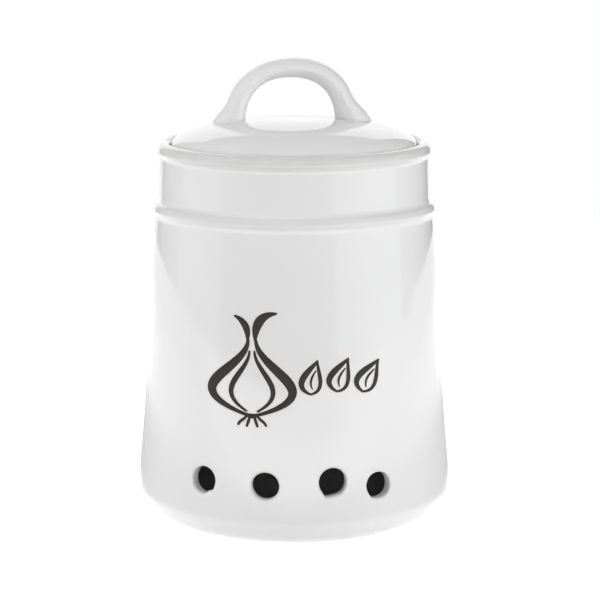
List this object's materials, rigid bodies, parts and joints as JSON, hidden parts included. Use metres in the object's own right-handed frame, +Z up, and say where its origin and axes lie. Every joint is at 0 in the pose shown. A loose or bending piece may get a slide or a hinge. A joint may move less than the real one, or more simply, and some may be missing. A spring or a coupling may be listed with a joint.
{
  "type": "garlic keeper",
  "caption": "White glazed ceramic garlic keeper: a tapered jar with vent holes and a ringed neck, and a domed drop-in lid with an arched handle.",
  "frame": {"origin": "centre of the foot, on the surface that the jar stands on", "axes": "+Z up along the jar's axis; the front, with the vents and the motif, faces -Y"},
  "size_m": [0.12, 0.12, 0.1742],
  "materials": {
    "jar_glaze": "glossy white glaze, bare and matt under the foot ring",
    "motif_colour": "charcoal ceramic colour fired into the glaze, slightly raised and glossy",
    "lid_glaze": "glossy white glaze, bare and matt where the edge rests on the ledge",
    "handle_glaze": "glossy white glaze"
  },
  "bodies": {
    "jar": {"jar": "jar_glaze", "motif": "motif_colour"},
    "lid": {"lid": "lid_glaze", "lid_handle": "handle_glaze"}
  },
  "joints": [
    {"name": "lid_lift", "type": "slide", "parent": "jar", "child": "lid", "axis": [0, 0, 1], "range_m": [0, 0.12]}
  ]
}
